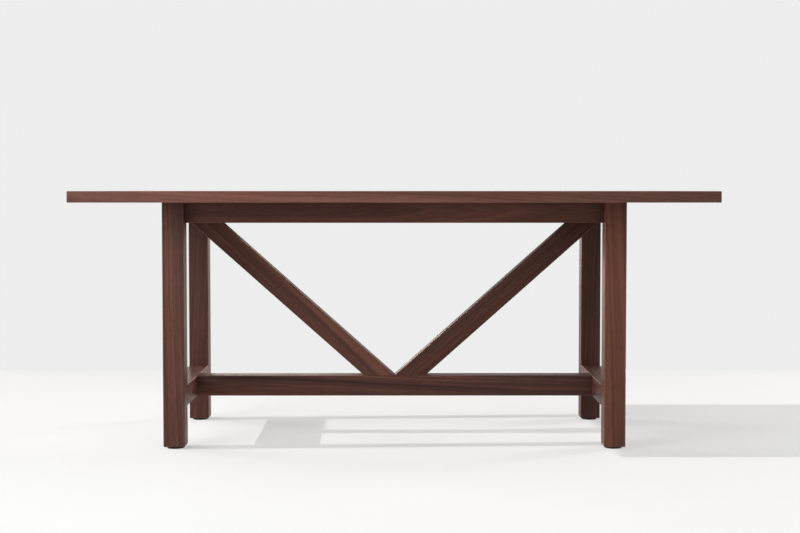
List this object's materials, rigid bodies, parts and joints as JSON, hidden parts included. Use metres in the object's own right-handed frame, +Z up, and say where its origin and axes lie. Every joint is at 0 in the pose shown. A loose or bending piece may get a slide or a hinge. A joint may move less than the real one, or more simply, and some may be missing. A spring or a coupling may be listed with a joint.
{
  "type": "farmhouse table",
  "caption": "Rectangular plank-topped dining table on a square-legged trestle frame with a V-braced spine and screw-in levelling feet.",
  "frame": {"origin": "on the floor under the middle of the table", "axes": "+X along the table to the right, +Y from the pictured side to the far side, +Z up"},
  "size_m": [1.829, 1.016, 0.762],
  "materials": {
    "walnut_top": "satin lacquer",
    "walnut_base": "satin lacquer",
    "black_nylon": "matte",
    "zinc_steel": "zinc plated"
  },
  "bodies": {
    "frame": {"brace_tenons": "walnut_base", "centre_rail": "walnut_base", "front_apron": "walnut_base", "left_brace": "walnut_base", "left_cross_stretcher": "walnut_base", "left_end_rail": "walnut_base", "leg_front_left": "walnut_base", "leg_front_right": "walnut_base", "leg_inserts": "zinc_steel", "leg_rear_left": "walnut_base", "leg_rear_right": "walnut_base", "long_stretcher": "walnut_base", "rear_apron": "walnut_base", "right_brace": "walnut_base", "right_cross_stretcher": "walnut_base", "right_end_rail": "walnut_base", "top_board_1": "walnut_top", "top_board_2": "walnut_top", "top_board_3": "walnut_top", "top_board_4": "walnut_top", "top_board_5": "walnut_top", "top_board_6": "walnut_top", "top_clips": "zinc_steel"},
    "pad_body_front_left": {"pad_front_left": "black_nylon"},
    "stem_body_front_left": {"stem_front_left": "zinc_steel"},
    "pad_body_front_right": {"pad_front_right": "black_nylon"},
    "stem_body_front_right": {"stem_front_right": "zinc_steel"},
    "pad_body_rear_left": {"pad_rear_left": "black_nylon"},
    "stem_body_rear_left": {"stem_rear_left": "zinc_steel"},
    "pad_body_rear_right": {"pad_rear_right": "black_nylon"},
    "stem_body_rear_right": {"stem_rear_right": "zinc_steel"}
  },
  "joints": [
    {"name": "level_front_left", "type": "slide", "parent": "frame", "child": "pad_body_front_left", "axis": [0, 0, -1], "range_m": [0, 0.012]},
    {"name": "screw_front_left", "type": "hinge", "parent": "pad_body_front_left", "child": "stem_body_front_left", "pos_m": [-0.65075, -0.27075, 0.02], "axis": [0, 0, -1], "range_deg": [0, 3460]},
    {"name": "level_front_right", "type": "slide", "parent": "frame", "child": "pad_body_front_right", "axis": [0, 0, -1], "range_m": [0, 0.012]},
    {"name": "screw_front_right", "type": "hinge", "parent": "pad_body_front_right", "child": "stem_body_front_right", "pos_m": [0.65075, -0.27075, 0.02], "axis": [0, 0, -1], "range_deg": [0, 3460]},
    {"name": "level_rear_left", "type": "slide", "parent": "frame", "child": "pad_body_rear_left", "axis": [0, 0, -1], "range_m": [0, 0.012]},
    {"name": "screw_rear_left", "type": "hinge", "parent": "pad_body_rear_left", "child": "stem_body_rear_left", "pos_m": [-0.65075, 0.27075, 0.02], "axis": [0, 0, -1], "range_deg": [0, 3460]},
    {"name": "level_rear_right", "type": "slide", "parent": "frame", "child": "pad_body_rear_right", "axis": [0, 0, -1], "range_m": [0, 0.012]},
    {"name": "screw_rear_right", "type": "hinge", "parent": "pad_body_rear_right", "child": "stem_body_rear_right", "pos_m": [0.65075, 0.27075, 0.02], "axis": [0, 0, -1], "range_deg": [0, 3460]}
  ],
  "couplings": [
    {"joint": "screw_front_left", "follows": "level_front_left", "rad_per_m": 5026.5},
    {"joint": "screw_front_right", "follows": "level_front_right", "rad_per_m": 5026.5},
    {"joint": "screw_rear_left", "follows": "level_rear_left", "rad_per_m": 5026.5},
    {"joint": "screw_rear_right", "follows": "level_rear_right", "rad_per_m": 5026.5}
  ]
}
